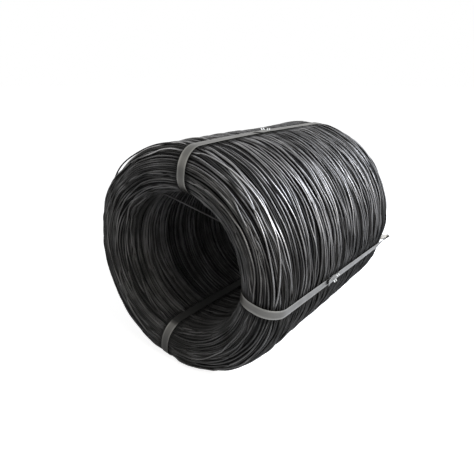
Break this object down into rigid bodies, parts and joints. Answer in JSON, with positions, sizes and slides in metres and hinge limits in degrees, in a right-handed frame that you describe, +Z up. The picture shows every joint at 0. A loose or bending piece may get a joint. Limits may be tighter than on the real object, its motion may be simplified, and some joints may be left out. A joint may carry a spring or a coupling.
{
  "type": "coil of wire rod",
  "caption": "Thick-walled hollow coil of black wire rod lying on its side, with rounded ends, bound through its bore by flat steel straps with notched lap joints.",
  "frame": {"origin": "on the floor under the middle of the part's box, the box being the coil and the loose loop of its right strap", "axes": "+Y along the coil's axis from the front end to the back end, +Z up, +X to the right as seen from the front"},
  "size_m": [0.831, 1.0511, 0.8358],
  "materials": {
    "black_wire": "black oxide wire with a satin sheen",
    "strap_steel": "rolled steel strap, satin grey"
  },
  "bodies": {
    "root": {"coil": "black_wire", "strap_top": "strap_steel", "strap_right": "strap_steel", "strap_bottom": "strap_steel"}
  },
  "joints": []
}
